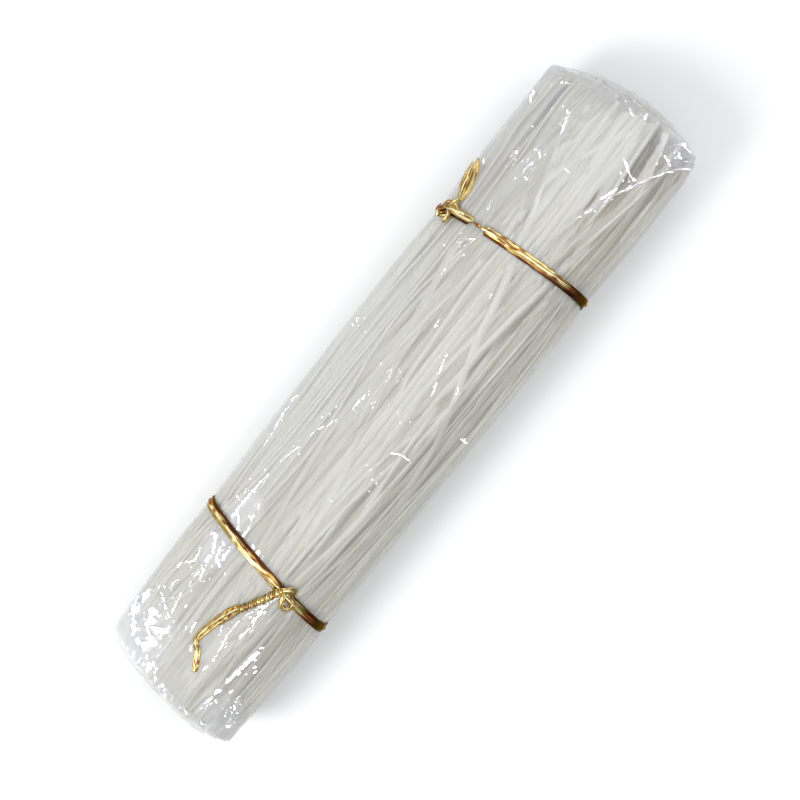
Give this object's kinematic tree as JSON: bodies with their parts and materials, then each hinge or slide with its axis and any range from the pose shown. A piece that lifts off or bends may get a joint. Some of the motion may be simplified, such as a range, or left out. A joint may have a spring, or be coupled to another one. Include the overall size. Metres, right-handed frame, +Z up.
{
  "type": "bundle of dried potato starch noodles",
  "caption": "Long dried starch noodles in a bundle, wrapped in clear film and held by gold foil twist ties.",
  "frame": {"origin": "middle of the bundle's footprint, on the surface it lies on", "axes": "+X along the bundle, from the long tie tail's end to the other; +Y across it; +Z up, with the flattened underside at z = 0"},
  "size_m": [0.288, 0.069, 0.0494],
  "materials": {
    "starch_noodles": "off-white translucent dried starch, seen through clear film",
    "clear_film": "clear glossy crinkled film",
    "gold_foil": "shiny gold foil ribbon over a thin wire"
  },
  "bodies": {
    "root": {"wrapped_noodles": "starch_noodles", "tie_left": "gold_foil", "tie_right": "gold_foil"}
  },
  "joints": []
}
